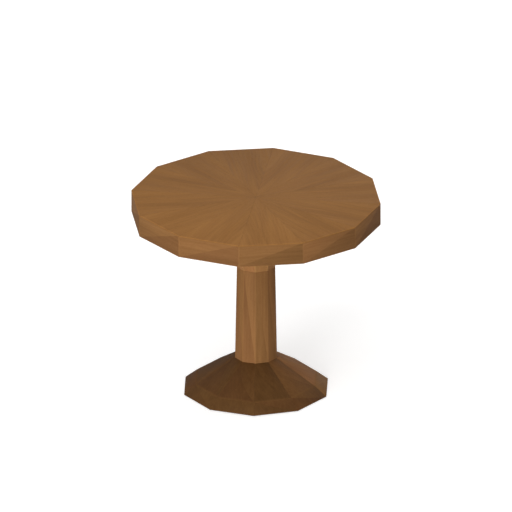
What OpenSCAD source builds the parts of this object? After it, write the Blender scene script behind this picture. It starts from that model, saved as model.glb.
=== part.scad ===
// Tilt-top pedestal table.
// A twelve-sided top with a pie-matched veneered face and a deep mitred rim is hinged on
// a block, which caps a ten-sided coopered column on a ten-sided base.
// Units are millimetres. +Z is up, the floor is z = 0, and the column stands on the Z axis.
// The top tips about an axis along X, near the block's -Y edge, so its face turns to -Y.

/* [Top] */
// Height of the table surface above the floor
table_h = 740; // [720:5:760]
// Distance from the centre of the top to one of its corners
top_r = 450; // [430:5:480]
// Depth of the rim, from the table surface to its lower edge
rim_h = 82; // [78:1:90]
// Thickness of the mitred rim boards
rim_t = 22; // [18:1:26]
// Thickness of the core panel
core_t = 22; // [20:1:26]
// Thickness of the veneer leaves
veneer_t = 3; // [2:0.5:4]

/* [Column] */
// Corner radius of the column where it meets the base
foot_r = 78; // [74:1:84]
// Corner radius at the narrow neck, under the flared head
neck_r = 71.5; // [68:0.5:74]
// Corner radius at the top of the flared head
head_r = 130; // [110:2:136]
// Height of the neck above the floor
neck_z = 476; // [440:2:520]
// Half the width across flats of the hollow in the column
hollow_a = 42; // [30:1:44]

/* [Base] */
// Corner radius of the base at the floor
base_r = 268; // [240:2:280]
// Corner radius where the sloping lip meets the deck
lip_r = 224; // [214:2:230]
// Height of the top of the lip
lip_z = 37; // [34:1:44]
// Height where the deck meets the column
deck_z = 125; // [110:1:140]
// Thickness of the board that closes the base from below
baseboard_t = 22; // [20:1:24]
// Thickness of the felt pads under the base
felt_t = 2; // [2:0.5:4]

/* [Tilting block] */
// Width of the block between the bearers
block_w = 208; // [200:2:216]
// Distance of the tilt axis from the centre of the column
tilt_y = 130; // [128:1:136]
// Distance from the tilt axis to the underside of the core
tilt_drop = 20; // [19:0.5:21]
// Width of one bearer
bearer_w = 36; // [32:1:40]
// Length of one bearer
bearer_l = 640; // [600:10:680]
// Radius of the pivot pins
pin_r = 6; // [5:0.5:7]

/* [Catch] */
// Travel of the sliding bolt
bolt_travel = 17; // [15:1:18]
// Width of the bolt
bolt_w = 16; // [14:1:18]
// Height of the bolt
bolt_h = 10; // [8:0.5:10]

/* [Hidden] */
TOP_SIDES = 12;
COLUMN_SIDES = 10;
top_a = top_r * cos(180 / TOP_SIDES);
core_a = top_a - rim_t;
core_top_z = table_h - veneer_t;
core_low_z = core_top_z - core_t;
rim_low_z = table_h - rim_h;
glue_block = 22;
glue_block_l = 70;

column_cos = cos(180 / COLUMN_SIDES);
foot_a = foot_r * column_cos;
neck_a = neck_r * column_cos;
head_a = head_r * column_cos;
base_a = base_r * column_cos;
lip_a = lip_r * column_cos;
lip_wall = 6;
baseboard_a = lip_a - lip_wall;
plinth_w = base_a - baseboard_a;
baseboard_low_z = 8;
baseboard_top_z = baseboard_low_z + baseboard_t;
ledge_w = 41;
socket_low_z = 66;
socket_w = 46;
screw_ring_a = baseboard_a - 31;
pad_r = 13;
pad_count = 10;

play = 0.5;
block_top_z = core_low_z - play;
block_t = 49.5;
block_low_z = block_top_z - block_t;
tilt_z = core_low_z - tilt_drop;
nose_r = tilt_drop - play;
block_back_y = 150;
bearer_h = 2 * tilt_drop;
bearer_x = block_w / 2 + 2;
bearer_end_h = 15;
bearer_taper = 50;
bearer_screw_y = [-240, -60, 60, 240];
pin_embed = 40;
pin_head_r = 11;
pin_head_t = 6;
pin_head_gap = 0.4;
bush_r = 9;
running_clearance = 0.05;
washer_t = 1.6;
washer_r = 14;

rod_r = 6;
rod_hole_r = 6.5;
rod_low_z = 4;
rod_top_z = block_top_z - 2.5;
nut_flats = 19;
nut_h = 10;
upper_recess_r = 18;
upper_recess_h = 16.5;
upper_washer_r = 17;
upper_washer_t = 2.5;
lower_recess_r = 32;
lower_recess_h = 11;
lower_washer_r = 30;
lower_washer_t = 4;
plug_h = 72;
foot_plug_h = 66;
dowel_r = 5;
dowel_l = 50;
dowel_x = 84;

bolt_low_z = core_low_z - 18;
bolt_top_z = bolt_low_z + bolt_h;
bolt_tip_y = 175;
bolt_l = 57;
bolt_gap = 0.2;
case_front_y = bolt_tip_y + 3;
case_l = 60;
case_w = 32;
case_low_z = bolt_low_z - 4;
flange_w = 60;
flange_t = 3;
spring_room = 2.8;
spring_t = 0.6;
spring_w = 10;
spring_l = 36;
stem_y = 208;
stem_r = 3;
stem_embed = 6;
stem_gap = 0.3;
knob_r = 9;
knob_h = 14;
knob_top_z = case_low_z - 7;
catch_screw_x = 23;
catch_screw_inset = 10;
strike_w = 40;
strike_t = 3;
strike_reach = 22;
strike_top_z = bolt_top_z + 4;
strike_low_z = bolt_low_z - 17;
strike_screw_x = 12;
strike_screw_z = bolt_low_z - 7;

// Wood screws: length, radius of the head, radius of the shank
bearer_screw = [54, 4.5, 2.25];
catch_screw = [16, 3.2, 1.6];
strike_screw = [26, 3.8, 1.9];
baseboard_screw = [36, 4.5, 2.25];

veneer_brown = [0.55, 0.39, 0.24];
rim_brown = [0.58, 0.41, 0.25];
column_brown = [0.55, 0.38, 0.23];
dark_brown = [0.35, 0.24, 0.14];
pale_wood = [0.76, 0.62, 0.43];
brass = [0.80, 0.62, 0.30];
steel = [0.62, 0.63, 0.65];
felt_green = [0.16, 0.22, 0.16];

$fn = 64;

APRON_NODES = [
    "apron_board_01", "apron_board_02", "apron_board_03", "apron_board_04",
    "apron_board_05", "apron_board_06", "apron_board_07", "apron_board_08",
    "apron_board_09", "apron_board_10", "apron_board_11", "apron_board_12"
];
STAVE_NODES = [
    "column_stave_01", "column_stave_02", "column_stave_03", "column_stave_04",
    "column_stave_05", "column_stave_06", "column_stave_07", "column_stave_08",
    "column_stave_09", "column_stave_10"
];
SEGMENT_NODES = [
    "base_segment_01", "base_segment_02", "base_segment_03", "base_segment_04",
    "base_segment_05", "base_segment_06", "base_segment_07", "base_segment_08",
    "base_segment_09", "base_segment_10"
];

// ---- Shared shapes ----

// Turns its children from +X to the middle of one side of a polygon with a corner at -Y.
module at_side(sides, index) {
    rotate([0, 0, (index + 0.5) * 360 / sides - 90]) children();
}

// One mitred sector of a ring. The profile holds [distance from the axis, height] points.
module sector(profile, sides, index) {
    reach = 2 * top_r;
    half_w = reach * tan(180 / sides);
    at_side(sides, index) intersection() {
        rotate([90, 0, 0]) linear_extrude(2 * half_w, center = true) polygon(profile);
        linear_extrude(table_h + 10) polygon([[0, 0], [reach, -half_w], [reach, half_w]]);
    }
}

// A polygonal plate or post, given half its width across flats, with a corner at -Y.
module prism(apothem, sides, low, high) {
    translate([0, 0, low]) rotate([0, 0, -90])
        cylinder(r = apothem / cos(180 / sides), h = high - low, $fn = sides);
}

// A post whose flat sides lean outward, given half its widths across flats at its two ends.
module flared_post(sides, low_a, low_z, high_a, high_z) {
    outline = [[-low_a, low_z], [low_a, low_z], [high_a, high_z], [-high_a, high_z]];
    intersection_for (i = [0 : sides / 2 - 1])
        at_side(sides, i)
            rotate([90, 0, 0]) linear_extrude(4 * high_a, center = true) polygon(outline);
}

// A post or hole along Z between two heights.
module post(radius, low, high) {
    translate([0, 0, low]) cylinder(r = radius, h = high - low);
}

// A box given by its middle in X and its lowest and highest Y and Z.
module slab(width, y_low, y_high, z_low, z_high) {
    translate([-width / 2, y_low, z_low]) cube([width, y_high - y_low, z_high - z_low]);
}

// Half the section of a wood screw, from the narrow end of its 45 degree head to its point.
function shank_section(screw) = let (length = screw[0], head_r = screw[1], shank_r = screw[2]) [
    [shank_r, head_r - shank_r], [shank_r, length - 2.5 * shank_r], [0, length]
];

// A countersunk wood screw with its slotted head face at z = 0.
module wood_screw(screw) {
    head_r = screw[1];
    slot_w = head_r / 4;
    slot_h = head_r / 4;
    difference() {
        rotate_extrude() polygon(concat([[0, 0], [head_r, 0]], shank_section(screw)));
        translate([-slot_w / 2, -head_r, -1]) cube([slot_w, 2 * head_r, slot_h + 1]);
    }
}

// The hole for a wood screw. Its countersink is carried past the surface that the head lies in.
module screw_hole(screw) {
    past = 1;
    wide_r = screw[1] + past;
    rotate_extrude() polygon(concat([[0, -past], [wide_r, -past]], shank_section(screw)));
}

module left_and_right() {
    children();
    mirror([1, 0, 0]) children();
}

// ---- Top ----

module sunburst_veneer() {
    leaf = [[0, core_top_z], [top_a, core_top_z], [top_a, table_h], [0, table_h]];
    color(veneer_brown)
        for (i = [0 : TOP_SIDES - 1]) sector(leaf, TOP_SIDES, i);
}

module bearer_screw_places() {
    for (y = bearer_screw_y)
        left_and_right()
            translate([bearer_x + bearer_w / 2, y, core_low_z - bearer_h]) children();
}

module catch_screw_places() {
    for (y = [case_front_y + catch_screw_inset, case_front_y + case_l - catch_screw_inset])
        left_and_right()
            translate([catch_screw_x, y, core_low_z - flange_t]) children();
}

module top_core() {
    color(pale_wood) difference() {
        prism(core_a, TOP_SIDES, core_low_z, core_top_z);
        bearer_screw_places() screw_hole(bearer_screw);
        catch_screw_places() screw_hole(catch_screw);
    }
}

module apron_board(index) {
    board = [
        [core_a, rim_low_z], [top_a, rim_low_z],
        [top_a, core_top_z], [core_a, core_top_z]
    ];
    color(rim_brown) sector(board, TOP_SIDES, index);
}

module glue_blocks() {
    corner = [
        [core_a, core_low_z], [core_a - glue_block, core_low_z],
        [core_a, core_low_z - glue_block]
    ];
    color(pale_wood)
        for (i = [0 : TOP_SIDES - 1])
            at_side(TOP_SIDES, i)
                rotate([90, 0, 0]) linear_extrude(glue_block_l, center = true) polygon(corner);
}

module bearer(side) {
    half_l = bearer_l / 2;
    outline = [
        [-half_l, core_low_z], [half_l, core_low_z],
        [half_l, core_low_z - bearer_end_h],
        [half_l - bearer_taper, core_low_z - bearer_h],
        [bearer_taper - half_l, core_low_z - bearer_h],
        [-half_l, core_low_z - bearer_end_h]
    ];
    x_low = side > 0 ? bearer_x : -bearer_x - bearer_w;
    color(pale_wood) difference() {
        translate([x_low, 0, 0]) rotate([90, 0, 90]) linear_extrude(bearer_w) polygon(outline);
        translate([x_low - 1, -tilt_y, tilt_z]) rotate([0, 90, 0])
            cylinder(r = bush_r, h = bearer_w + 2);
        bearer_screw_places() screw_hole(bearer_screw);
    }
}

module bearer_screws() {
    color(steel) bearer_screw_places() wood_screw(bearer_screw);
}

// ---- Tilt axis ----

// Puts a part that points along +Z on the tilt axis, pointing to +X or -X.
module on_tilt_axis(side) {
    translate([0, -tilt_y, tilt_z]) rotate([0, 90 * side, 0]) children();
}

module pivot_bushes() {
    color(brass)
        for (side = [-1, 1])
            on_tilt_axis(side) difference() {
                post(bush_r, bearer_x, bearer_x + bearer_w);
                post(pin_r + running_clearance, bearer_x - 1, bearer_x + bearer_w + 1);
            }
}

module pivot_pin(side) {
    head_x = bearer_x + bearer_w + pin_head_gap;
    shank_x = block_w / 2 - pin_embed;
    chamfer = 1;
    slot_w = 2.4;
    color(brass) on_tilt_axis(side) difference() {
        rotate_extrude() polygon([
            [0, shank_x], [pin_r - chamfer, shank_x], [pin_r, shank_x + chamfer],
            [pin_r, head_x], [pin_head_r, head_x],
            [pin_head_r, head_x + pin_head_t - 2 * chamfer],
            [pin_head_r - 2 * chamfer, head_x + pin_head_t], [0, head_x + pin_head_t]
        ]);
        translate([-slot_w / 2, -pin_head_r - 1, head_x + pin_head_t - 2])
            cube([slot_w, 2 * pin_head_r + 2, 3]);
    }
}

module pin_washers() {
    color(brass)
        for (side = [-1, 1])
            on_tilt_axis(side) difference() {
                post(washer_r, block_w / 2, block_w / 2 + washer_t);
                post(pin_r + 4 * running_clearance, block_w / 2 - 1, block_w / 2 + washer_t + 1);
            }
}

module pivot_block() {
    front_y = -tilt_y - nose_r;
    color(pale_wood) difference() {
        union() {
            slab(block_w, -tilt_y, block_back_y, block_low_z, block_top_z);
            slab(block_w, front_y, -tilt_y, block_low_z, tilt_z);
            translate([-block_w / 2, -tilt_y, tilt_z]) rotate([0, 90, 0])
                cylinder(r = nose_r, h = block_w);
        }
        for (side = [-1, 1])
            on_tilt_axis(side) post(pin_r, block_w / 2 - pin_embed, block_w / 2 + 1);
        post(rod_hole_r, block_low_z - 1, block_top_z);
        post(upper_recess_r, block_top_z - upper_recess_h, block_top_z + 1);
        dowel_places() post(dowel_r, block_low_z - 1, block_low_z + dowel_l / 2);
        strike_screw_places() screw_hole(strike_screw);
    }
}

// ---- Catch ----

module catch_case() {
    back_y = case_front_y + case_l;
    channel_w = bolt_w + 2 * bolt_gap;
    stem_slot_w = 2 * (stem_r + stem_gap);
    color(brass) difference() {
        union() {
            slab(case_w, case_front_y, back_y, case_low_z, core_low_z);
            slab(flange_w, case_front_y, back_y, core_low_z - flange_t, core_low_z);
        }
        slab(channel_w, case_front_y - 1, back_y - 3, bolt_low_z - bolt_gap, bolt_top_z + bolt_gap);
        slab(channel_w, case_front_y + 10, back_y - 10,
             bolt_top_z, bolt_top_z + bolt_gap + spring_room);
        slab(stem_slot_w, stem_y - bolt_travel - stem_slot_w / 2, stem_y + stem_slot_w / 2,
             case_low_z - 1, bolt_low_z);
        catch_screw_places() screw_hole(catch_screw);
    }
}

module catch_screws() {
    color(brass) catch_screw_places() wood_screw(catch_screw);
}

// A bowed strip that presses on the bolt, so that the bolt stays where it is put.
module catch_leaf_spring() {
    middle_y = case_front_y + case_l / 2;
    rise = bolt_gap + spring_room - spring_t - running_clearance;
    bow_r = (pow(spring_l / 2, 2) + pow(rise, 2)) / (2 * rise);
    half_angle = asin(spring_l / 2 / bow_r);
    steps = 12;
    lower = [for (i = [-steps : steps]) let (a = half_angle * i / steps)
        [bow_r * sin(a), bow_r - bow_r * cos(a)]];
    upper = [for (i = [steps : -1 : -steps]) let (a = half_angle * i / steps)
        [bow_r * sin(a), bow_r - bow_r * cos(a) + spring_t]];
    color(brass)
        translate([-spring_w / 2, middle_y, bolt_top_z + running_clearance])
            rotate([90, 0, 90]) linear_extrude(spring_w) polygon(concat(lower, upper));
}

module catch_bolt() {
    nose = 2;
    outline = [
        [bolt_tip_y, bolt_low_z], [bolt_tip_y + bolt_l, bolt_low_z],
        [bolt_tip_y + bolt_l, bolt_top_z], [bolt_tip_y + nose, bolt_top_z],
        [bolt_tip_y, bolt_top_z - nose]
    ];
    color(brass) difference() {
        translate([-bolt_w / 2, 0, 0]) rotate([90, 0, 90]) linear_extrude(bolt_w) polygon(outline);
        translate([0, stem_y, 0]) post(stem_r, bolt_low_z - 1, bolt_low_z + stem_embed);
    }
}

module catch_knob() {
    low_z = knob_top_z - knob_h;
    color(brass) translate([0, stem_y, 0]) rotate_extrude() polygon([
        [0, low_z], [knob_r - 3, low_z], [knob_r, low_z + 3], [knob_r, knob_top_z - 6],
        [stem_r + 2, knob_top_z], [stem_r, knob_top_z],
        [stem_r, bolt_low_z + stem_embed], [0, bolt_low_z + stem_embed]
    ]);
}

module strike_screw_places() {
    left_and_right()
        translate([strike_screw_x, block_back_y + strike_t, strike_screw_z])
            rotate([90, 0, 0]) children();
}

module strike_angle() {
    color(brass) difference() {
        union() {
            slab(strike_w, block_back_y, block_back_y + strike_t, strike_low_z, strike_top_z);
            slab(strike_w, block_back_y, block_back_y + strike_reach,
                 strike_top_z - strike_t, strike_top_z);
        }
        strike_screw_places() screw_hole(strike_screw);
    }
}

module strike_screws() {
    color(brass) strike_screw_places() wood_screw(strike_screw);
}

// ---- Column ----

module dowel_places() {
    left_and_right() translate([dowel_x, 0, 0]) children();
}

module block_dowels() {
    color(pale_wood) dowel_places()
        post(dowel_r, block_low_z - dowel_l / 2, block_low_z + dowel_l / 2);
}

module capital() {
    color(column_brown) difference() {
        flared_post(COLUMN_SIDES, neck_a, neck_z, head_a, block_low_z);
        prism(hollow_a, COLUMN_SIDES, neck_z - 1, block_low_z + 1);
        dowel_places() post(dowel_r, block_low_z - dowel_l / 2, block_low_z + 1);
    }
}

module column_plugs() {
    color(pale_wood) difference() {
        union() {
            prism(hollow_a, COLUMN_SIDES, neck_z - plug_h / 2, neck_z + plug_h / 2);
            prism(hollow_a, COLUMN_SIDES, baseboard_top_z, baseboard_top_z + foot_plug_h);
        }
        post(rod_hole_r, 0, table_h);
    }
}

module column_stave(index) {
    stave = [
        [hollow_a, baseboard_top_z], [foot_a, baseboard_top_z], [foot_a, deck_z],
        [neck_a, neck_z], [hollow_a, neck_z]
    ];
    color(column_brown) sector(stave, COLUMN_SIDES, index);
}

module tie_rod() {
    color(steel) post(rod_r, rod_low_z, rod_top_z);
}

module hex_nut(low_z) {
    translate([0, 0, low_z]) difference() {
        cylinder(r = nut_flats / 2 / cos(30), h = nut_h, $fn = 6);
        post(rod_r, -1, nut_h + 1);
    }
}

module tie_rod_nuts() {
    color(steel) {
        hex_nut(block_top_z - upper_recess_h + upper_washer_t);
        hex_nut(baseboard_low_z + lower_recess_h - lower_washer_t - nut_h);
    }
}

module flat_washer(radius, low_z, thickness) {
    difference() {
        post(radius, low_z, low_z + thickness);
        post(rod_r, low_z - 1, low_z + thickness + 1);
    }
}

module tie_rod_washers() {
    color(steel) {
        flat_washer(upper_washer_r, block_top_z - upper_recess_h, upper_washer_t);
        flat_washer(lower_washer_r, baseboard_low_z + lower_recess_h - lower_washer_t,
                    lower_washer_t);
    }
}

// ---- Base ----

module baseboard_screw_places() {
    for (i = [0 : COLUMN_SIDES - 1])
        at_side(COLUMN_SIDES, i) translate([screw_ring_a, 0, baseboard_low_z]) children();
}

module base_segment(index) {
    section = [
        [foot_a, deck_z], [lip_a, lip_z], [base_a, felt_t], [baseboard_a, felt_t],
        [baseboard_a, baseboard_top_z], [baseboard_a - ledge_w, baseboard_top_z],
        [foot_a + socket_w, socket_low_z], [foot_a, socket_low_z]
    ];
    color(dark_brown) difference() {
        sector(section, COLUMN_SIDES, index);
        baseboard_screw_places() screw_hole(baseboard_screw);
    }
}

module baseboard() {
    color(dark_brown) difference() {
        prism(baseboard_a, COLUMN_SIDES, baseboard_low_z, baseboard_top_z);
        post(rod_hole_r, 0, table_h);
        post(lower_recess_r, 0, baseboard_low_z + lower_recess_h);
        baseboard_screw_places() screw_hole(baseboard_screw);
    }
}

module baseboard_screws() {
    color(steel) baseboard_screw_places() wood_screw(baseboard_screw);
}

module felt_pads() {
    color(felt_green)
        for (i = [0 : pad_count - 1])
            at_side(pad_count, i) translate([base_a - plinth_w / 2, 0, 0]) post(pad_r, 0, felt_t);
}

// ---- The table ----

sunburst_veneer();
top_core();
for (i = [0 : TOP_SIDES - 1])
    apron_board(i);
glue_blocks();
bearer(-1);  // bearer_left
bearer(1);  // bearer_right
bearer_screws();
pivot_bushes();
catch_case();
catch_screws();
catch_leaf_spring();
catch_bolt();
catch_knob();
pivot_block();
pivot_pin(-1);  // pivot_pin_left
pivot_pin(1);  // pivot_pin_right
pin_washers();
strike_angle();
strike_screws();
block_dowels();
capital();
column_plugs();
for (i = [0 : COLUMN_SIDES - 1])
    column_stave(i);
tie_rod();
tie_rod_nuts();
tie_rod_washers();
for (i = [0 : COLUMN_SIDES - 1])
    base_segment(i);
baseboard();
baseboard_screws();
felt_pads();
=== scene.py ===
"""The looks of a tilt-top pedestal table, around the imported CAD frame.

Every length is in metres, in the row frame: +Z is up, the floor is z = 0, and the column stands on
the Z axis. The top has twelve sides, the column and the base have ten, and all have a corner at -Y.
"""
import math

import bmesh
import bpy
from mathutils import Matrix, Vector


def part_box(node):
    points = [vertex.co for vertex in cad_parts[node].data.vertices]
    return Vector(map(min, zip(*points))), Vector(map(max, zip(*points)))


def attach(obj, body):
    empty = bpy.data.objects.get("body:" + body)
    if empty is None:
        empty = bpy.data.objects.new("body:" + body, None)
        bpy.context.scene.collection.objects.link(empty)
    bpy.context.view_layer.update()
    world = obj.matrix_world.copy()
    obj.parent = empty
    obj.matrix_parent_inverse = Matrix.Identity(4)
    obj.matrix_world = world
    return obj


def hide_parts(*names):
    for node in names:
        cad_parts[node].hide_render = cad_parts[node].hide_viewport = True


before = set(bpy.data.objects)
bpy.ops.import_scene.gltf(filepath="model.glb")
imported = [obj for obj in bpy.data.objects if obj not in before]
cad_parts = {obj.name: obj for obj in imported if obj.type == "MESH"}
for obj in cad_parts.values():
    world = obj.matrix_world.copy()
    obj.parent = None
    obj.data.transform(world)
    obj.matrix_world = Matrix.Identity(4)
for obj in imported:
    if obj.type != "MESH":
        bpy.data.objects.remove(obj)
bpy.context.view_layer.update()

MM = 0.001
TOP_SIDES = 12
COLUMN_SIDES = 10
SHARP = math.radians(25)    # edges that turn more than this look sharp
FAR = 1.0                   # a distance at which a board's edge or joint has no effect

VENEER_LOW, VENEER_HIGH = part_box("sunburst_veneer")
CORE_LOW, CORE_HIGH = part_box("top_core")
RIM_LOW, RIM_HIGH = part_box("apron_board_01")
STAVE_LOW, STAVE_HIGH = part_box("column_stave_01")
SEGMENT_LOW, SEGMENT_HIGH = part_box("base_segment_01")
CAPITAL_LOW, CAPITAL_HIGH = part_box("capital")

TOP_APOTHEM = VENEER_HIGH.y * math.cos(math.pi / TOP_SIDES)
CORE_APOTHEM = CORE_HIGH.y * math.cos(math.pi / TOP_SIDES)
LIP_Z = 37 * MM             # where the base's deck meets its lip


# ---- Stage, camera and light ----

CAMERA_AZIMUTH = 37.9
CAMERA_ELEVATION = 23.2
CAMERA_SCALE = 1.8306
CAMERA_DISTANCE = 5.0
AIM = Vector((0, 0, 0.510))

FLOOR_HALF = 14.0
FLOOR_PAINT = (0.80, 0.795, 0.79, 1)
FLOOR_GLOW = 0.46
DRUM_RADIUS = 13.0
DRUM_HALF_HEIGHT = 12.0
DRUM_PANELS = 48


def toward(azimuth, elevation):
    """The direction from the table to a point at that azimuth, from -Y towards +X, in degrees."""
    a, e = math.radians(azimuth), math.radians(elevation)
    return Vector((math.sin(a) * math.cos(e), -math.cos(a) * math.cos(e), math.sin(e)))


def link(obj):
    bpy.context.scene.collection.objects.link(obj)
    return obj


def add_camera():
    camera = link(bpy.data.objects.new("camera", bpy.data.cameras.new("camera")))
    camera.data.type = "ORTHO"
    camera.data.ortho_scale = CAMERA_SCALE
    direction = toward(CAMERA_AZIMUTH, CAMERA_ELEVATION)
    camera.location = AIM + CAMERA_DISTANCE * direction
    camera.rotation_euler = direction.to_track_quat("Z", "Y").to_euler()
    bpy.context.scene.camera = camera


def add_sun(name, azimuth, elevation, strength, softness):
    """A distant soft light, at an azimuth from the camera's own."""
    sun = link(bpy.data.objects.new(name, bpy.data.lights.new(name, "SUN")))
    sun.data.energy = strength
    sun.data.angle = math.radians(softness)
    direction = toward(CAMERA_AZIMUTH + azimuth, elevation)
    sun.rotation_euler = direction.to_track_quat("Z", "Y").to_euler()


def add_glowing(name, vertices, faces, paint_color, glow):
    """A pale matt surface around the table, which glows, and which no bounced light reaches."""
    mesh = bpy.data.meshes.new(name)
    mesh.from_pydata(vertices, [], faces)
    surface = bpy.data.materials.new(name + "_paint")
    surface.use_nodes = True
    shader = surface.node_tree.nodes["Principled BSDF"]
    shader.inputs["Base Color"].default_value = paint_color
    shader.inputs["Roughness"].default_value = 0.9
    shader.inputs["Specular IOR Level"].default_value = 0.0
    shader.inputs["Emission Color"].default_value = (1, 1, 1, 1)
    shader.inputs["Emission Strength"].default_value = glow
    mesh.materials.append(surface)
    obj = link(bpy.data.objects.new(name, mesh))
    obj.visible_diffuse = False
    obj.visible_glossy = False
    return obj


def add_floor():
    half = FLOOR_HALF
    corners = [(-half, -half, 0), (half, -half, 0), (half, half, 0), (-half, half, 0)]
    add_glowing("floor", corners, [(0, 1, 2, 3)], FLOOR_PAINT, FLOOR_GLOW)


def add_backdrop():
    """A white drum behind everything, which lets all the light through."""
    vertices = []
    for i in range(DRUM_PANELS):
        angle = 2 * math.pi * i / DRUM_PANELS
        x, y = DRUM_RADIUS * math.cos(angle), DRUM_RADIUS * math.sin(angle)
        vertices += [(x, y, -DRUM_HALF_HEIGHT), (x, y, DRUM_HALF_HEIGHT)]
    low, high = range(0, len(vertices), 2), range(1, len(vertices), 2)
    faces = [(low[i - 1], high[i - 1], high[i], low[i]) for i in range(DRUM_PANELS)]
    faces += [list(low), list(high)]
    black = (0, 0, 0, 1)
    backdrop = add_glowing("backdrop", vertices, faces, black, 1.0)
    backdrop.visible_shadow = False


def add_sky():
    """A studio that is dim around the horizon and bright overhead."""
    world = bpy.data.worlds.new("studio")
    world.use_nodes = True
    nodes, links = world.node_tree.nodes, world.node_tree.links
    direction = nodes.new("ShaderNodeTexCoord")
    parts = nodes.new("ShaderNodeSeparateXYZ")
    level = nodes.new("ShaderNodeMapRange")
    level.interpolation_type = "SMOOTHSTEP"
    level.inputs["From Min"].default_value = 0.25
    level.inputs["From Max"].default_value = 0.85
    level.inputs["To Min"].default_value = 0.33
    level.inputs["To Max"].default_value = 0.72
    links.new(direction.outputs["Generated"], parts.inputs[0])
    links.new(parts.outputs[2], level.inputs["Value"])
    links.new(level.outputs[0], nodes["Background"].inputs["Strength"])
    nodes["Background"].inputs["Color"].default_value = (1, 1, 1, 1)
    bpy.context.scene.world = world


def add_stage():
    add_floor()
    add_backdrop()
    add_sky()
    add_sun("low_key", azimuth=-23, elevation=14, strength=1.50, softness=22)
    add_sun("high_key", azimuth=-23, elevation=52, strength=0.56, softness=30)
    add_sun("back_fill", azimuth=155, elevation=28, strength=0.45, softness=60)
    bpy.context.scene.view_settings.view_transform = "Standard"


# ---- Node graphs ----

class Graph:
    """One material's nodes. Each method adds a node and returns its output socket."""

    # The colour sockets of a Mix node, whose other sockets have the same names.
    MIX_A, MIX_B, MIX_RESULT = 6, 7, 2

    def __init__(self, name):
        self.material = bpy.data.materials.new(name)
        self.material.use_nodes = True
        self.nodes = self.material.node_tree.nodes
        self.links = self.material.node_tree.links
        self.shader = self.nodes["Principled BSDF"]

    def feed(self, socket, value):
        if isinstance(value, bpy.types.NodeSocket):
            self.links.new(value, socket)
        else:
            socket.default_value = value

    def add(self, kind, inputs, output=0, **settings):
        node = self.nodes.new(kind)
        for key, value in settings.items():
            setattr(node, key, value)
        for key, value in inputs.items():
            self.feed(node.inputs[key], value)
        return node.outputs[output]

    def math(self, operation, a, b=0.0, c=0.0, clamp=False):
        inputs = {0: a, 1: b, 2: c}
        return self.add("ShaderNodeMath", inputs, operation=operation, use_clamp=clamp)

    def position(self):
        return self.add("ShaderNodeTexCoord", {}, "Object")

    def split(self, vector):
        node = self.nodes.new("ShaderNodeSeparateXYZ")
        self.feed(node.inputs[0], vector)
        return node.outputs[0], node.outputs[1], node.outputs[2]

    def join(self, x, y, z):
        return self.add("ShaderNodeCombineXYZ", {0: x, 1: y, 2: z})

    def noise(self, vector, detail=3.0, roughness=0.55, distortion=0.0, scale=1.0):
        inputs = {"Vector": vector, "Scale": scale, "Detail": detail,
                  "Roughness": roughness, "Distortion": distortion}
        return self.add("ShaderNodeTexNoise", inputs)

    def hash(self, value, salt=0.0):
        """A fixed random number from 0 to 1 for each whole number and salt."""
        salted = self.math("ADD", value, salt)
        return self.add("ShaderNodeTexWhiteNoise", {"W": salted}, "Value", noise_dimensions="1D")

    def remap(self, value, low, high, to_low=0.0, to_high=1.0, smooth=False):
        kind = "SMOOTHSTEP" if smooth else "LINEAR"
        inputs = {"Value": value, "From Min": low, "From Max": high,
                  "To Min": to_low, "To Max": to_high}
        return self.add("ShaderNodeMapRange", inputs, interpolation_type=kind)

    def least(self, first, *others):
        for value in others:
            first = self.math("MINIMUM", first, value)
        return first

    def blend(self, factor, a, b):
        """The number a where factor is 0, and b where it is 1."""
        return self.remap(factor, 0.0, 1.0, a, b)

    def mix(self, factor, a, b):
        """The colour a where factor is 0, and b where it is 1."""
        node = self.nodes.new("ShaderNodeMix")
        node.data_type = "RGBA"
        self.feed(node.inputs["Factor"], factor)
        self.feed(node.inputs[self.MIX_A], a)
        self.feed(node.inputs[self.MIX_B], b)
        return node.outputs[self.MIX_RESULT]

    def tone(self, color, value, hue=0.5, saturation=1.0):
        inputs = {"Color": color, "Value": value, "Hue": hue, "Saturation": saturation}
        return self.add("ShaderNodeHueSaturation", inputs)

    def bump(self, height, distance, strength):
        inputs = {"Height": height, "Distance": distance, "Strength": strength}
        return self.add("ShaderNodeBump", inputs)

    def finish(self, color, roughness, normal, **constants):
        self.feed(self.shader.inputs["Base Color"], color)
        self.feed(self.shader.inputs["Roughness"], roughness)
        self.feed(self.shader.inputs["Normal"], normal)
        for key, value in constants.items():
            self.shader.inputs[key.replace("_", " ")].default_value = value
        return self.material


def rgb(red, green, blue):
    """A colour given as it looks on a screen, from 0 to 255, as linear light."""
    def linear(value):
        value /= 255
        return value / 12.92 if value <= 0.04045 else ((value + 0.055) / 1.055) ** 2.4
    return linear(red), linear(green), linear(blue), 1.0


def shade(color, red, green=None, blue=None):
    """A colour with its linear light multiplied, by one number or by one for each channel."""
    factors = (red, red if green is None else green, red if blue is None else blue)
    return tuple(min(1.0, c * f) for c, f in zip(color, factors)) + (1.0,)


# ---- Boards: where a point lies in the wood ----

class Board:
    """A point's place on its board.

    along, across and depth are grain coordinates; seed tells boards apart; edge is how far the
    nearest worn edge is, and joint the nearest glue line; tone lightens or darkens the board, by
    random wood tone and by painted light and shade; raw is 1 on faces that were never finished.
    """

    def __init__(self, along, across, depth, seed, edge=FAR, joint=FAR, tone=1.0, raw=0.0):
        self.along, self.across, self.depth = along, across, depth
        self.seed = seed
        self.edge = edge
        self.joint = joint
        self.tone = tone
        self.raw = raw


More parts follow.
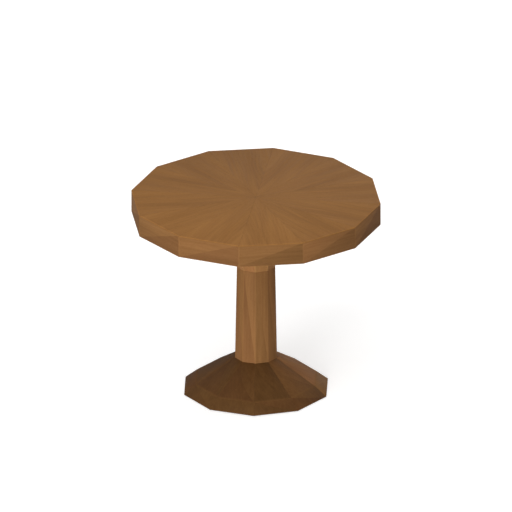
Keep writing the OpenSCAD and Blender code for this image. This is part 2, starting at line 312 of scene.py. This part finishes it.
class Side:
    """A point in the frame of its own side of a polygon: along the side, out from the axis, up."""

    def __init__(self, g, sides):
        step = 2 * math.pi / sides
        place = g.position()
        x, y, self.up = g.split(place)
        angle = g.math("ARCTAN2", x, g.math("MULTIPLY", y, -1.0))
        self.number = g.math("FLOOR", g.math("DIVIDE", angle, step))
        self.azimuth = g.math("MULTIPLY_ADD", self.number, step, step / 2)
        turned = g.add("ShaderNodeVectorRotate",
                       {"Vector": place, "Angle": g.math("MULTIPLY", self.azimuth, -1.0)},
                       rotation_type="Z_AXIS")
        self.along, back, _ = g.split(turned)
        self.out = g.math("MULTIPLY", back, -1.0)
        self.half_width = g.math("MULTIPLY", self.out, math.tan(step / 2))
        self.joint = g.math("SUBTRACT", self.half_width, g.math("ABSOLUTE", self.along))

    def upper_leaf(self, g, height, falling):
        """1 in the upper of the two triangular leaves that face a side, and 0 in the lower."""
        place = g.math("MULTIPLY_ADD", g.math("DIVIDE", self.along, self.half_width), 0.5, 0.5)
        if falling:
            place = g.math("SUBTRACT", 1.0, place)
        return g.math("GREATER_THAN", height, place)


def veneer_board(g):
    """Twelve wedge leaves from one log, grain running out from the centre, each one mirrored."""
    log_seed, leaf_step = 3.0, 3.5 * MM
    side = Side(g, TOP_SIDES)
    parity = g.math("PINGPONG", side.number, 1.0)
    across = g.math("MULTIPLY", side.along, g.math("MULTIPLY_ADD", parity, 2.0, -1.0))
    depth = g.math("MULTIPLY", side.number, leaf_step)
    rim = g.math("SUBTRACT", TOP_APOTHEM, side.out)
    tone = g.remap(g.hash(side.number, salt=31), 0, 1, 0.965, 1.035)
    return Board(side.out, across, depth, log_seed, rim, side.joint, tone)


def rim_board(g):
    """Mitred rim boards, each faced with two triangular leaves whose grain runs around the rim."""
    first_inside_seed = 60.0
    side = Side(g, TOP_SIDES)
    height = g.remap(side.up, RIM_LOW.z, VENEER_HIGH.z)
    upper = side.upper_leaf(g, height, falling=False)
    inside = g.math("LESS_THAN", side.out, CORE_APOTHEM + 1 * MM)
    leaf = g.math("MULTIPLY_ADD", side.number, 2.0, upper)
    seed = g.blend(inside, leaf, g.math("ADD", side.number, first_inside_seed))
    edge = g.least(side.joint, g.math("SUBTRACT", side.up, RIM_LOW.z))
    # Painted shade: on every face the upper leaf is painted lighter and the lower leaf darker, as
    # light falls on two tilted halves.
    tone = g.blend(inside, g.blend(upper, 0.90, 1.09), 0.96)
    return Board(side.along, side.up, side.out, seed, edge, side.joint, tone, inside)


def upright_board(g, low, high):
    """Column staves: grain runs up, and each face has two long triangular leaves."""
    side = Side(g, COLUMN_SIDES)
    upper = side.upper_leaf(g, g.remap(side.up, low, high), falling=True)
    leaf = g.math("MULTIPLY_ADD", side.number, 2.0, upper)
    # Painted shade: on every face the upper leaf is painted lighter and the lower leaf darker, as
    # light falls on two tilted halves.
    tone = g.blend(upper, 0.93, 1.08)
    return Board(side.up, side.along, side.out, leaf, side.joint, side.joint, tone)


def stave_board(g):
    return upright_board(g, SEGMENT_HIGH.z, STAVE_HIGH.z)


def capital_board(g):
    return upright_board(g, CAPITAL_LOW.z, CAPITAL_HIGH.z)


def base_board(g):
    """Base sectors: grain runs down the deck. The sectors on one side are painted lighter, as if
    lit there, and the lip a little lighter than the deck, both painted light.
    """
    first_lip_seed = 60.0
    lit_side_azimuth = math.radians(145)
    side = Side(g, COLUMN_SIDES)
    on_lip = g.math("LESS_THAN", side.up, LIP_Z)
    deck_height = g.remap(side.up, LIP_Z, SEGMENT_HIGH.z)
    lip_height = g.remap(side.up, SEGMENT_LOW.z, LIP_Z)
    upper = side.upper_leaf(g, g.blend(on_lip, deck_height, lip_height), falling=True)
    leaf = g.math("ADD", g.math("MULTIPLY_ADD", side.number, 2.0, upper),
                  g.math("MULTIPLY", on_lip, first_lip_seed))
    lip_edge = g.math("ABSOLUTE", g.math("SUBTRACT", side.up, LIP_Z))
    foot_edge = g.math("SUBTRACT", side.up, SEGMENT_LOW.z)
    edge = g.least(side.joint, lip_edge, foot_edge)
    # Painted light: sectors turned towards this azimuth are painted up to 2.5 times lighter, as if
    # lit from that side.
    toward_lit_side = g.math("COSINE", g.math("SUBTRACT", side.azimuth, lit_side_azimuth))
    painted_light_gain = g.remap(toward_lit_side, g.blend(on_lip, 0.40, 0.52), 0.95, 1.0, g.blend(on_lip, 2.5, 2.1))
    # Painted shade: on every face the upper leaf is painted lighter and the lower leaf darker.
    tone = g.math("MULTIPLY", painted_light_gain, g.blend(upper, 0.96, 1.04))
    # Painted light: the lip is painted 6% lighter than the deck.
    tone = g.math("MULTIPLY", tone, g.blend(on_lip, 1.0, 1.06))
    under = g.math("LESS_THAN", side.up, SEGMENT_LOW.z + 0.5 * MM)
    return Board(side.out, side.along, side.up, leaf, edge, side.joint, tone, under)


def block_board(g):
    """Corner glue blocks: grain runs along each side of the top."""
    side = Side(g, TOP_SIDES)
    return Board(side.along, side.up, side.out, side.number)


def strip_board(g, width, along_y=False):
    """Boards glued edge to edge, with the grain along X or along Y."""
    x, y, z = g.split(g.position())
    along, across = (y, x) if along_y else (x, y)
    strip = g.math("FLOOR", g.math("DIVIDE", across, width))
    offset = g.math("SUBTRACT", across, g.math("MULTIPLY", strip, width))
    joint = g.least(offset, g.math("SUBTRACT", width, offset))
    tone = g.remap(g.hash(strip, salt=17), 0, 1, 0.90, 1.08)
    return Board(along, across, z, strip, FAR, joint, tone)


def core_board(g):
    return strip_board(g, 62 * MM)


def baseboard_board(g):
    return strip_board(g, 78 * MM)


def lamination_board(g):
    return strip_board(g, 52 * MM, along_y=True)


def rail_board(g):
    """A pair of rails whose grain runs along Y."""
    x, y, z = g.split(g.position())
    return Board(y, x, z, g.math("SIGN", x))


def peg_board(g):
    """Pegs and plugs whose grain runs up."""
    x, y, z = g.split(g.position())
    return Board(z, x, y, g.math("SIGN", x))


# ---- Materials ----

def wood(name, board_of, color, ring=13 * MM, wear=0.16, rough=0.52):
    """Wood with its grain laid along each board: figure, rings, pores, worn edges, glue lines.

    ring is how far apart the growth rings are, and wear is how pale the worn edges get.
    """
    spread = 11.0           # how far apart in the noise two boards may be cut
    heart = 90 * MM         # from a board's middle to the heart of its log
    waviness = 26.0         # how far the rings stray, in radians
    g = Graph(name)
    board = board_of(g)
    dark = shade(color, 0.79, 0.76, 0.73)
    light = shade(color, 1.20, 1.21, 1.22)
    shift = g.math("MULTIPLY", g.hash(board.seed, salt=7), spread)

    def stretched(length, width, **settings):
        """Noise in streaks of about that length and width, along the grain."""
        along = g.math("DIVIDE", g.math("ADD", board.along, shift), length)
        across = g.math("DIVIDE", g.math("ADD", board.across, shift), width)
        depth = g.math("DIVIDE", g.math("ADD", board.depth, shift), width)
        return g.noise(g.join(along, across, depth), **settings)

    broad = stretched(420 * MM, 55 * MM, detail=2.0)
    streak = stretched(300 * MM, 11 * MM, detail=4.0, distortion=0.4)
    fine = stretched(50 * MM, 1.6 * MM, detail=3.0)
    bend = stretched(260 * MM, 50 * MM, detail=2.0)
    grain_pores = stretched(8 * MM, 0.42 * MM, detail=1.0)

    from_heart = g.math("ADD", board.across, heart)
    distance = g.math("SQRT", g.math("ADD", g.math("POWER", from_heart, 2.0),
                                     g.math("POWER", board.depth, 2.0)))
    phase = g.math("MULTIPLY_ADD", distance, 2 * math.pi / ring, g.math("MULTIPLY", bend, waviness))
    rings = g.math("MULTIPLY_ADD", g.math("SINE", phase), 0.5, 0.5)

    figure = g.math("ADD", g.remap(broad, 0.3, 0.7, 0, 0.42), g.remap(streak, 0.3, 0.7, 0, 0.34))
    figure = g.math("ADD", figure, g.math("MULTIPLY", g.math("POWER", rings, 2.0), 0.14))
    figure = g.math("ADD", figure, g.remap(fine, 0.25, 0.75, -0.04, 0.10), clamp=True)
    surface = g.mix(figure, dark, light)

    pore = g.remap(grain_pores, 0.60, 0.70, smooth=True)
    surface = g.mix(g.math("MULTIPLY", pore, 0.45), surface, shade(dark, 0.35))

    jitter = g.remap(g.hash(board.seed, salt=53), 0, 1, 0.96, 1.04)
    hue = g.remap(g.hash(board.seed, salt=91), 0, 1, 0.4965, 0.5035)
    surface = g.tone(surface, g.math("MULTIPLY", jitter, board.tone), hue)
    dusty = g.tone(surface, 0.96, 0.5, 0.80)
    surface = g.mix(board.raw, surface, dusty)

    ragged = g.math("MULTIPLY_ADD", streak, 2.4 * MM, 0.3 * MM)
    worn = g.remap(g.math("SUBTRACT", board.edge, ragged), 0.0, 1.6 * MM, 1, 0, smooth=True)
    surface = g.mix(g.math("MULTIPLY", worn, wear), surface, shade(light, 1.9))
    seam = g.remap(board.joint, 0.10 * MM, 0.35 * MM, 1, 0, smooth=True)
    surface = g.mix(g.math("MULTIPLY", seam, 0.7), surface, shade(dark, 0.25))

    polish = g.math("ADD", g.remap(streak, 0.3, 0.7, rough - 0.05, rough + 0.05),
                    g.math("MULTIPLY", pore, 0.15))
    polish = g.math("MULTIPLY_ADD", worn, 0.08, polish)
    polish = g.math("MULTIPLY_ADD", board.raw, 0.22, polish)
    height = g.math("ADD", g.math("MULTIPLY", fine, 0.35), g.math("MULTIPLY", rings, 0.25))
    height = g.math("SUBTRACT", height, g.math("MULTIPLY", pore, 0.6))
    height = g.math("SUBTRACT", height, g.math("MULTIPLY", seam, 1.2))
    normal = g.bump(height, 0.12 * MM, 0.6)
    return g.finish(surface, polish, normal, Specular_IOR_Level=0.05)


def brass(name, color, tarnished):
    """Brass: drawn lines along Y, brown tarnish in patches, and dark specks."""
    g = Graph(name)
    lines_per_metre, breaks_per_metre = 2600, 60
    place = g.position()
    x, y, z = g.split(place)
    drawn = g.noise(g.join(g.math("MULTIPLY", x, lines_per_metre),
                           g.math("MULTIPLY", y, breaks_per_metre),
                           g.math("MULTIPLY", z, lines_per_metre)), detail=2.0)
    cloud = g.noise(place, detail=5.0, roughness=0.62, scale=85)
    speck = g.noise(place, detail=2.0, scale=900)
    tarnish = g.remap(cloud, 0.44, 0.70, 0, 1, smooth=True)
    surface = g.mix(g.math("MULTIPLY", tarnish, tarnished), color, rgb(140, 98, 50))
    spots = g.remap(speck, 0.66, 0.74, 0, 1, smooth=True)
    surface = g.mix(g.math("MULTIPLY", spots, 0.5), surface, rgb(84, 58, 34))
    surface = g.tone(surface, g.remap(drawn, 0.3, 0.7, 0.94, 1.06))
    rough = g.math("MULTIPLY_ADD", tarnish, 0.18, g.remap(drawn, 0.3, 0.7, 0.24, 0.34))
    normal = g.bump(drawn, 0.02 * MM, 0.5)
    return g.finish(surface, rough, normal, Metallic=1.0)


def steel():
    """Zinc-plated steel: crystalline mottling, dull patches, and a little rust."""
    g = Graph("plated_steel")
    place = g.position()
    grain = g.add("ShaderNodeTexVoronoi", {"Vector": place, "Scale": 420.0}, "Color")
    level, _, _ = g.split(grain)
    cloud = g.noise(place, detail=4.0, scale=60)
    rust = g.remap(g.noise(place, detail=6.0, roughness=0.7, scale=240), 0.66, 0.74, 0, 1,
                   smooth=True)
    surface = g.mix(level, rgb(176, 178, 182), rgb(206, 208, 211))
    surface = g.tone(surface, g.remap(cloud, 0.3, 0.7, 0.86, 1.05))
    surface = g.mix(g.math("MULTIPLY", rust, 0.75), surface, rgb(112, 66, 38))
    rough = g.math("ADD", g.remap(level, 0, 1, 0.28, 0.42), g.math("MULTIPLY", rust, 0.35))
    height = g.math("MULTIPLY_ADD", rust, 0.6, g.noise(place, detail=2.0, scale=1500))
    normal = g.bump(height, 0.02 * MM, 0.4)
    return g.finish(surface, rough, normal, Metallic=0.9)


def felt():
    """Pressed wool: tangled fibres, flecks of paler wool, and dirt where it meets the floor."""
    g = Graph("green_felt")
    place = g.position()
    _, _, up = g.split(place)
    warp = g.noise(place, detail=3.0, scale=500)
    fibre = g.noise(g.add("ShaderNodeVectorMath", {0: place, 1: g.join(warp, warp, warp)},
                          operation="ADD"), detail=4.0, roughness=0.7, distortion=3.0, scale=900)
    surface = g.mix(g.remap(fibre, 0.3, 0.7), rgb(38, 52, 38), rgb(82, 100, 78))
    fleck = g.remap(g.noise(place, detail=1.0, scale=1800), 0.66, 0.72, 0, 1, smooth=True)
    surface = g.mix(g.math("MULTIPLY", fleck, 0.5), surface, rgb(150, 158, 140))
    dirt = g.remap(up, 0.0, 1.2 * MM, 0.5, 0.0, smooth=True)
    surface = g.mix(dirt, surface, rgb(58, 54, 46))
    normal = g.bump(fibre, 0.25 * MM, 0.8)
    return g.finish(surface, g.remap(fibre, 0, 1, 0.88, 1.0), normal, Sheen_Weight=0.35,
                    Specular_IOR_Level=0.2)


# ---- Making pieces ----

def paint(obj, material):
    """Gives a piece, or a CAD node, one material all over."""
    if not obj.material_slots:
        obj.data.materials.append(material)
    for material_slot in obj.material_slots:
        material_slot.material = material


def paint_nodes(material, *names):
    for name in names:
        paint(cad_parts[name], material)


def finished(bm, name, node, body, material):
    """Turns a bmesh into a piece that stands for a CAD node and rides on its body."""
    bmesh.ops.recalc_face_normals(bm, faces=bm.faces)
    mesh = bpy.data.meshes.new(name)
    bm.to_mesh(mesh)
    bm.free()
    # A copied CAD mesh brings normals that don't fit the new faces.
    if "custom_normal" in mesh.attributes:
        mesh.attributes.remove(mesh.attributes["custom_normal"])
    mesh.shade_smooth()
    mesh.set_sharp_from_angle(angle=SHARP)
    mesh.materials.clear()
    piece = link(bpy.data.objects.new(name, mesh))
    paint(piece, material)
    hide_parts(node)
    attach(piece, body)
    return piece


def eased(node, body, material, width, skip=lambda middle: False, shortest=4 * MM):
    """A copy of a CAD node with its straight sharp edges eased, which stands for the node.

    An edge stays sharp where skip(its middle) is true, or where it is shorter than shortest.
    """
    bm = bmesh.new()
    bm.from_mesh(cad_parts[node].data)
    for face in bm.faces:
        face.material_index = 0
    bmesh.ops.remove_doubles(bm, verts=bm.verts, dist=0.005 * MM)
    bmesh.ops.dissolve_limit(bm, angle_limit=math.radians(0.5), verts=bm.verts, edges=bm.edges)
    edges = []
    for edge in bm.edges:
        if len(edge.link_faces) != 2 or edge.calc_length() < shortest:
            continue
        middle = (edge.verts[0].co + edge.verts[1].co) / 2
        if edge.calc_face_angle() > SHARP and not skip(middle):
            edges.append(edge)
    bmesh.ops.bevel(bm, geom=edges, offset=width, segments=2, profile=0.5, affect="EDGES",
                    clamp_overlap=True)
    return finished(bm, node + ".eased", node, body, material)


def eased_screws(node, body, material, head_at):
    """Screws with the edges of their heads and slots eased. head_at(point) is 0 on the heads."""
    def off_head(middle):
        return abs(head_at(middle)) > 0.05 * MM

    eased(node, body, material, 0.22 * MM, off_head, shortest=0.0)


def turned(name, node, body, slot, material, radius_at, heights, around, place):
    """A closed round piece about Z, then moved to place. radius_at(height, angle) shapes it."""
    bm = bmesh.new()
    rings = []
    for height in heights:
        ring = []
        for i in range(around):
            angle = 2 * math.pi * i / around
            radius = radius_at(height, angle)
            ring.append(bm.verts.new((radius * math.cos(angle), radius * math.sin(angle), height)))
        rings.append(ring)
    for low, high in zip(rings, rings[1:]):
        for i in range(around):
            j = (i + 1) % around
            bm.faces.new((low[i], low[j], high[j], high[i]))
    bm.faces.new(reversed(rings[0]))
    bm.faces.new(rings[-1])
    bmesh.ops.translate(bm, verts=bm.verts, vec=place)
    return finished(bm, name, node, body, material)


def steps(low, high, count):
    """Numbers from low to high, both included, in equal steps."""
    return [low + (high - low) * i / count for i in range(count + 1)]


# ---- The top ----

def veneer_leaf(index, material):
    """One wedge of the table's face, from the centre to one side, with its outer edge eased."""
    step = 2 * math.pi / TOP_SIDES
    radius = VENEER_HIGH.y
    plan = [(0.0, 0.0)]
    for corner in (index, index + 1):
        plan.append((radius * math.sin(corner * step), -radius * math.cos(corner * step)))
    bm = bmesh.new()
    low = [bm.verts.new((x, y, VENEER_LOW.z)) for x, y in plan]
    high = [bm.verts.new((x, y, VENEER_HIGH.z)) for x, y in plan]
    bm.faces.new(high)
    bm.faces.new(reversed(low))
    for a, b in ((0, 1), (1, 2), (2, 0)):
        bm.faces.new((low[a], low[b], high[b], high[a]))
    outer = [e for e in bm.edges if e.verts[0] in high[1:] and e.verts[1] in high[1:]]
    bmesh.ops.bevel(bm, geom=outer, offset=0.6 * MM, segments=2, profile=0.5, affect="EDGES")
    name = f"veneer_leaf_{index + 1:02d}"
    return finished(bm, name, "sunburst_veneer", "top", material)


def make_face(walnut):
    face = wood("walnut_face", veneer_board, walnut)
    for i in range(TOP_SIDES):
        veneer_leaf(i, face)


def make_rim(walnut):
    rim = wood("walnut_rim", rim_board, walnut)

    def under_veneer(middle):
        reach = math.hypot(middle.x, middle.y)
        return middle.z > RIM_HIGH.z - 0.5 * MM and reach > CORE_APOTHEM + 2 * MM

    for i in range(TOP_SIDES):
        eased(f"apron_board_{i + 1:02d}", "top", rim, 0.6 * MM, under_veneer)


def make_top_frame(pale, metal, screw_metal):
    core = wood("poplar_core", core_board, pale, ring=5 * MM, rough=0.62)
    paint_nodes(core, "top_core")
    pine = shade(pale, 1.06, 1.03, 0.96)
    blocks = wood("pine_blocks", block_board, pine, ring=4 * MM, rough=0.66)
    eased("glue_blocks", "top", blocks, 0.8 * MM)
    beech = shade(pale, 0.98, 0.88, 0.76)
    rails = wood("beech_rails", rail_board, beech, ring=4 * MM, rough=0.58)
    for side in ("left", "right"):
        eased(f"bearer_{side}", "top", rails, 1.5 * MM)
    head_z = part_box("bearer_screws")[0].z
    eased_screws("bearer_screws", "top", screw_metal, lambda point: point.z - head_z)
    paint_nodes(metal, "pivot_bushes")


# ---- The catch ----

def make_catch(metal, screw_metal):
    eased("catch_case", "top", metal, 0.4 * MM, shortest=2 * MM)
    eased("catch_bolt", "catch_bolt", metal, 0.4 * MM)
    paint_nodes(metal, "catch_leaf_spring")
    head_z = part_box("catch_screws")[0].z
    eased_screws("catch_screws", "top", screw_metal, lambda point: point.z - head_z)

    low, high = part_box("catch_knob")
    middle = Vector(((low.x + high.x) / 2, (low.y + high.y) / 2, low.z))
    full = (high.x - low.x) / 2
    stem = 3 * MM
    dome_h, grip_h, cove_h = 3.5 * MM, 5 * MM, 5.5 * MM
    flutes, flute_depth = 14, 0.55 * MM
    around = 8 * flutes

    def radius_at(height, angle):
        if height <= dome_h:
            lift = 1 - height / dome_h
            return full - flute_depth - (full - 2 * stem) * (1 - math.sqrt(1 - 0.98 * lift ** 2))
        if height <= dome_h + grip_h:
            share = (height - dome_h) / grip_h
            swell = math.sin(math.pi * share) ** 0.5 if 0 < share < 1 else 0.0
            ridge = abs(math.sin(flutes * angle / 2))
            return full - flute_depth + flute_depth * swell * (2 * ridge ** 0.6 - 1)
        if height <= dome_h + grip_h + cove_h:
            share = (height - dome_h - grip_h) / cove_h
            return stem + (full - flute_depth - stem) * (1 - math.sin(math.pi / 2 * share)) ** 1.2
        return stem

    tops = dome_h, dome_h + grip_h, dome_h + grip_h + cove_h
    heights = steps(0, tops[0], 6) + steps(tops[0], tops[1], 10)[1:]
    heights += steps(tops[1], tops[2], 8)[1:] + [high.z - low.z]
    turned("catch_knob.turned", "catch_knob", "catch_bolt", "brass", metal,
           radius_at, heights, around, middle)


# ---- The block and the pivots ----

def make_block(pale, metal, screw_metal):
    maple = shade(pale, 1.05, 0.98, 0.90)
    block = wood("maple_block", lamination_board, maple, ring=6 * MM)
    eased("pivot_block", "pedestal", block, 1.5 * MM)
    pegs = wood("birch_pegs", peg_board, pale, ring=3 * MM, rough=0.6)
    paint_nodes(pegs, "block_dowels", "column_plugs")
    paint_nodes(metal, "pivot_pin_left", "pivot_pin_right", "pin_washers")
    eased("strike_angle", "pedestal", metal, 0.4 * MM, shortest=2 * MM)
    head_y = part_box("strike_screws")[1].y
    eased_screws("strike_screws", "pedestal", screw_metal, lambda point: point.y - head_y)


# ---- The column and its tie rod ----

def make_column(walnut):
    stave = wood("walnut_stave", stave_board, walnut)
    for i in range(COLUMN_SIDES):
        eased(f"column_stave_{i + 1:02d}", "pedestal", stave, 0.5 * MM)
    # Painted light: the capital's walnut is painted 1.7 times lighter, to lift the shade that falls
    # under the top.
    capital = wood("walnut_capital", capital_board, shade(walnut, 1.70))
    eased("capital", "pedestal", capital, 0.8 * MM)


def make_tie_rod(metal):
    """A rod with a cut thread at each end."""
    low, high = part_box("tie_rod")
    full = high.x
    length = high.z - low.z
    pitch, cut, threaded = 1.75 * MM, 1.0 * MM, 36 * MM

    def radius_at(height, angle):
        from_end = min(height, length - height)
        fade = min(1.0, max(0.0, (threaded - from_end) / pitch))
        turn = (height / pitch - angle / (2 * math.pi)) % 1.0
        chamfer = max(0.0, 1 * MM - from_end)
        return full - max(chamfer, cut * fade * abs(2 * turn - 1))

    rings_per_turn = 8
    count = round(threaded / pitch * rings_per_turn)
    heights = steps(0, threaded, count) + steps(length - threaded, length, count)
    turned("tie_rod.threaded", "tie_rod", "pedestal", "steel", metal, radius_at, heights, 40,
           Vector((0, 0, low.z)))


def make_nuts(metal):
    """Two hexagonal nuts with chamfered corners."""
    low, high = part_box("tie_rod_nuts")
    flats = min(high.x, high.y)
    height = 10 * MM
    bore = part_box("tie_rod")[1].x
    around = 72
    crown = 0.97 * flats
    chamfer_slope = math.tan(math.radians(30))

    def hexagon(angle):
        sixth = math.pi / 3
        toward_flat = (angle + sixth / 2) % sixth - sixth / 2
        return flats / math.cos(toward_flat)

    for name, z in (("lower", low.z), ("upper", high.z - height)):
        bm = bmesh.new()
        rings = []
        for end, inward in ((0.0, 1), (height, -1)):
            edge_rings = []
            for radius_of in (lambda a: bore, lambda a: crown, hexagon):
                ring = []
                for i in range(around):
                    angle = 2 * math.pi * (i + 0.5) / around
                    radius = radius_of(angle)
                    drop = max(0.0, radius - crown) * chamfer_slope
                    ring.append(bm.verts.new((radius * math.sin(angle), radius * math.cos(angle),
                                              z + end + inward * drop)))
                edge_rings.append(ring)
            rings += edge_rings if inward > 0 else edge_rings[::-1]
        rings.append(rings[0])
        for inner, outer in zip(rings, rings[1:]):
            for i in range(around):
                j = (i + 1) % around
                bm.faces.new((inner[i], inner[j], outer[j], outer[i]))
        finished(bm, f"tie_rod_nut.{name}", "tie_rod_nuts", "pedestal", metal)


# ---- The base ----

def make_base(dark, pale_dark, metal):
    deck = wood("dark_walnut", base_board, dark, wear=0.10)
    for i in range(COLUMN_SIDES):
        eased(f"base_segment_{i + 1:02d}", "pedestal", deck, 0.7 * MM)
    closing = wood("stained_baseboard", baseboard_board, pale_dark, ring=5 * MM, rough=0.66)
    paint_nodes(closing, "baseboard")
    paint_nodes(metal, "tie_rod_washers")
    head_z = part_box("baseboard_screws")[0].z
    eased_screws("baseboard_screws", "pedestal", metal, lambda point: point.z - head_z)


def make_felt_pads(wool):
    """Ten discs of pressed felt, a little uneven at their edges."""
    low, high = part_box("felt_pads")
    pad_r = 13 * MM
    ring_r = high.x - pad_r
    thick = high.z

    for k in range(COLUMN_SIDES):
        azimuth = 2 * math.pi * (k + 0.5) / COLUMN_SIDES
        place = Vector((ring_r * math.sin(azimuth), -ring_r * math.cos(azimuth), 0))

        def radius_at(height, angle):
            share = 2 * height / thick - 1
            bulge = 0.9 * MM * (1 - math.sqrt(1 - 0.96 * share ** 2))
            uneven = 0.25 * MM * (1 + math.sin(3 * angle + k) * math.sin(7 * angle + 2 * k))
            return pad_r - bulge - uneven

        turned(f"felt_pad_{k + 1:02d}", "felt_pads", "pedestal", "felt", wool,
               radius_at, steps(0, thick, 8), 64, place)


def make_table():
    walnut = rgb(151, 107, 65)
    pale = rgb(196, 160, 112)
    old_brass = brass("old_brass", rgb(222, 184, 112), 0.55)
    screw_brass = brass("screw_brass", rgb(236, 206, 142), 0.25)
    plated = steel()
    make_face(rgb(146, 101, 55))
    make_rim(walnut)
    make_top_frame(pale, old_brass, plated)
    make_catch(old_brass, screw_brass)
    make_block(pale, old_brass, screw_brass)
    # Painted light: the column's walnut is painted 6% lighter, to lift the shade that falls under
    # the top.
    make_column(shade(walnut, 1.06))
    make_tie_rod(plated)
    make_nuts(plated)
    make_base(rgb(94, 64, 35), rgb(92, 68, 44), plated)
    make_felt_pads(felt())


add_camera()
add_stage()
make_table()
